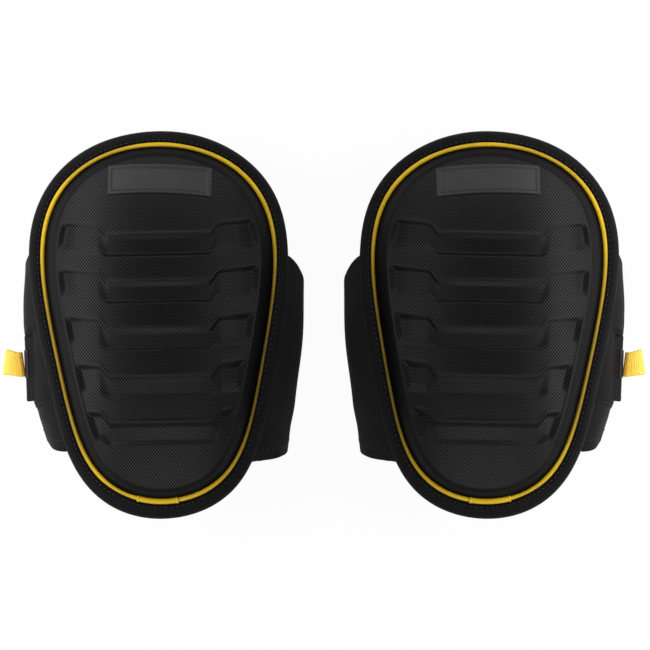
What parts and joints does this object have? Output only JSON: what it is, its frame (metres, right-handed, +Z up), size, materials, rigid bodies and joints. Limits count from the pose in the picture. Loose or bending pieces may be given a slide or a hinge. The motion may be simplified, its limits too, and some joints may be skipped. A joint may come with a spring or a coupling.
{
  "type": "pair of work knee pads",
  "caption": "Pair of padded strap-on knee pads with a ribbed woven cap, yellow piping, neoprene wings and a rear strap with a pull tab.",
  "frame": {"origin": "middle of the pair's footprint, on the table under the straps", "axes": "+X across the pair to the viewer's right, +Y from shin to thigh, +Z up through the pads' faces"},
  "size_m": [0.4238, 0.2558, 0.0935],
  "materials": {
    "woven_cap": "coarse basket weave",
    "foam": "matte foam",
    "lining": "brushed knit",
    "yellow_bead": "satin",
    "edge_fabric": "close weave",
    "label": "smooth woven patch",
    "neoprene": "smooth knit faced",
    "loop_fabric": "brushed loop",
    "hook_plastic": "moulded hooks",
    "black_webbing": "woven webbing",
    "yellow_webbing": "woven webbing"
  },
  "bodies": {
    "left_rear_strap": {"left_rear_strap": "neoprene"},
    "left_pad": {"left_cap": "woven_cap", "left_foam_core": "foam", "left_gel_cushion": "lining", "left_knee_liner": "lining", "left_piping": "yellow_bead", "left_piping_sleeve": "yellow_bead", "left_edge_binding": "edge_fabric", "left_label_patch": "label", "left_inner_seam": "edge_fabric", "left_inner_wing": "neoprene", "left_inner_hem": "neoprene", "left_outer_seam": "edge_fabric"},
    "left_outer_wing": {"left_outer_wing": "neoprene", "left_outer_hem": "neoprene", "left_loop_panel": "loop_fabric"},
    "left_strap_end": {"left_strap_end": "neoprene", "left_hook_patch": "hook_plastic", "left_tab_anchor": "black_webbing"},
    "left_pull_tab": {"left_pull_tab": "yellow_webbing"},
    "right_rear_strap": {"right_rear_strap": "neoprene"},
    "right_pad": {"right_cap": "woven_cap", "right_foam_core": "foam", "right_gel_cushion": "lining", "right_knee_liner": "lining", "right_piping": "yellow_bead", "right_piping_sleeve": "yellow_bead", "right_edge_binding": "edge_fabric", "right_label_patch": "label", "right_inner_seam": "edge_fabric", "right_inner_wing": "neoprene", "right_inner_hem": "neoprene", "right_outer_seam": "edge_fabric"},
    "right_outer_wing": {"right_outer_wing": "neoprene", "right_outer_hem": "neoprene", "right_loop_panel": "loop_fabric"},
    "right_strap_end": {"right_strap_end": "neoprene", "right_hook_patch": "hook_plastic", "right_tab_anchor": "black_webbing"},
    "right_pull_tab": {"right_pull_tab": "yellow_webbing"}
  },
  "joints": [
    {"name": "left_loop_open", "type": "hinge", "parent": "left_rear_strap", "child": "left_pad", "pos_m": [-0.02509, -0.03108, 0.00816], "axis": [0.0844, 0.9964, 0], "range_deg": [0, 45]},
    {"name": "right_loop_open", "type": "hinge", "parent": "right_rear_strap", "child": "right_pad", "pos_m": [0.02509, -0.03108, 0.00816], "axis": [0.0844, -0.9964, 0], "range_deg": [0, 45]},
    {"name": "left_strap_peel", "type": "hinge", "parent": "left_rear_strap", "child": "left_strap_end", "pos_m": [-0.19033, -0.02791, 0.00638], "axis": [0.1246, -0.9922, 0], "range_deg": [0, 60]},
    {"name": "right_strap_peel", "type": "hinge", "parent": "right_rear_strap", "child": "right_strap_end", "pos_m": [0.19033, -0.02791, 0.00638], "axis": [0.1246, 0.9922, 0], "range_deg": [0, 60]},
    {"name": "left_tab_flex", "type": "hinge", "parent": "left_strap_end", "child": "left_pull_tab", "pos_m": [-0.19908, -0.02599, 0.0285], "axis": [-0.1246, 0.9922, 0], "range_deg": [-45, 45], "stiffness_Nm_per_rad": 0.004},
    {"name": "right_tab_flex", "type": "hinge", "parent": "right_strap_end", "child": "right_pull_tab", "pos_m": [0.19908, -0.02599, 0.0285], "axis": [-0.1246, -0.9922, 0], "range_deg": [-45, 45], "stiffness_Nm_per_rad": 0.004},
    {"name": "left_wing_flex", "type": "hinge", "parent": "left_pad", "child": "left_outer_wing", "pos_m": [-0.17625, -0.01758, 0.0405], "axis": [0.1246, -0.9922, 0], "range_deg": [0, 20], "stiffness_Nm_per_rad": 0.4},
    {"name": "right_wing_flex", "type": "hinge", "parent": "right_pad", "child": "right_outer_wing", "pos_m": [0.17625, -0.01758, 0.0405], "axis": [0.1246, 0.9922, 0], "range_deg": [0, 20], "stiffness_Nm_per_rad": 0.4},
    {"name": "right_pad_apart", "type": "slide", "parent": "left_rear_strap", "child": "right_rear_strap", "axis": [1, 0, 0], "range_m": [0, 0.15]}
  ]
}
